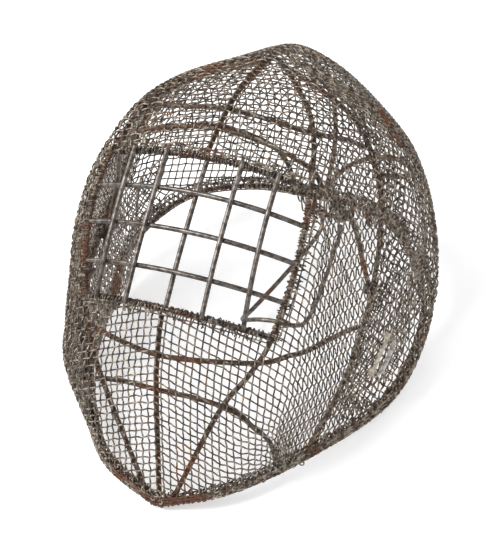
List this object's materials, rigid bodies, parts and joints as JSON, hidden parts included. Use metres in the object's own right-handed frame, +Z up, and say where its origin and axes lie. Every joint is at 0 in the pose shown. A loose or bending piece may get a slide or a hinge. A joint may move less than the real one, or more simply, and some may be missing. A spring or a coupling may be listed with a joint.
{
  "type": "wire goalie mask",
  "caption": "Vintage ice sports face and head mask of woven wire cloth over a wire frame, with a barred window, side strap loops and a hinged neck tongue",
  "frame": {"origin": "Middle of the bounding box in plan, on the plane that the hem of the head opening stands on.", "axes": "+X is the wearer's left, +Y runs from the chin to the back of the head, +Z points up out of the window side."},
  "size_m": [0.2384, 0.3134, 0.195],
  "materials": {
    "frame_wire": "dark, pitted, rusted in places",
    "window_bar": "worn smooth, dull grey with bright spots",
    "wire_cloth": "tarnished grey woven wire with rust patches",
    "inner_cloth": "tarnished grey woven wire",
    "hem_fold": "rusted folded wire cloth",
    "tie_wire": "blackened thin wire",
    "strap_loop": "bright worn wire",
    "strap_pad": "dry tan",
    "hinge_wire": "dark, rusted",
    "tongue_wire": "dull brown grey, smooth"
  },
  "bodies": {
    "mask": {"hem_wire": "frame_wire", "centre_rib_lower": "frame_wire", "crown_rib": "frame_wire", "window_rib_left": "frame_wire", "window_rib_right": "frame_wire", "rear_rib_left": "frame_wire", "rear_rib_right": "frame_wire", "brow_hoop_upper": "frame_wire", "brow_hoop_lower": "frame_wire", "cheek_hoop": "frame_wire", "chin_hoop": "frame_wire", "rear_brace_left": "frame_wire", "rear_brace_right": "frame_wire", "window_rail_top": "window_bar", "window_rail_bottom": "window_bar", "upright_1": "window_bar", "upright_2": "window_bar", "upright_3": "window_bar", "upright_4": "window_bar", "upright_5": "window_bar", "cross_bar_1": "window_bar", "cross_bar_2": "window_bar", "cross_bar_3": "window_bar", "chin_cloth": "wire_cloth", "side_cloth_left": "wire_cloth", "side_cloth_right": "wire_cloth", "crown_cloth": "wire_cloth", "temple_cloth_left": "wire_cloth", "temple_cloth_right": "wire_cloth", "rear_cloth_left": "wire_cloth", "rear_cloth_right": "wire_cloth", "ear_cloth_left": "inner_cloth", "ear_cloth_right": "inner_cloth", "hem_band_left": "hem_fold", "hem_band_right": "hem_fold", "window_hem_top": "hem_fold", "window_hem_bottom": "hem_fold", "window_hem_left": "hem_fold", "window_hem_right": "hem_fold", "brow_lashing_left": "tie_wire", "brow_lashing_right": "tie_wire", "strap_loop_left": "strap_loop", "strap_loop_right": "strap_loop", "strap_pads_left": "strap_pad", "strap_pads_right": "strap_pad", "hinge_pin": "hinge_wire", "hinge_lug_left": "hinge_wire", "hinge_lug_right": "hinge_wire"},
    "tongue": {"tongue_wire": "tongue_wire", "tongue_eye_left": "tongue_wire", "tongue_eye_right": "tongue_wire"}
  },
  "joints": [
    {"name": "tongue_hinge", "type": "hinge", "parent": "mask", "child": "tongue", "pos_m": [0.02, 0.1072, 0.02575], "axis": [-1, 0, 0], "range_deg": [-4, 75]}
  ]
}
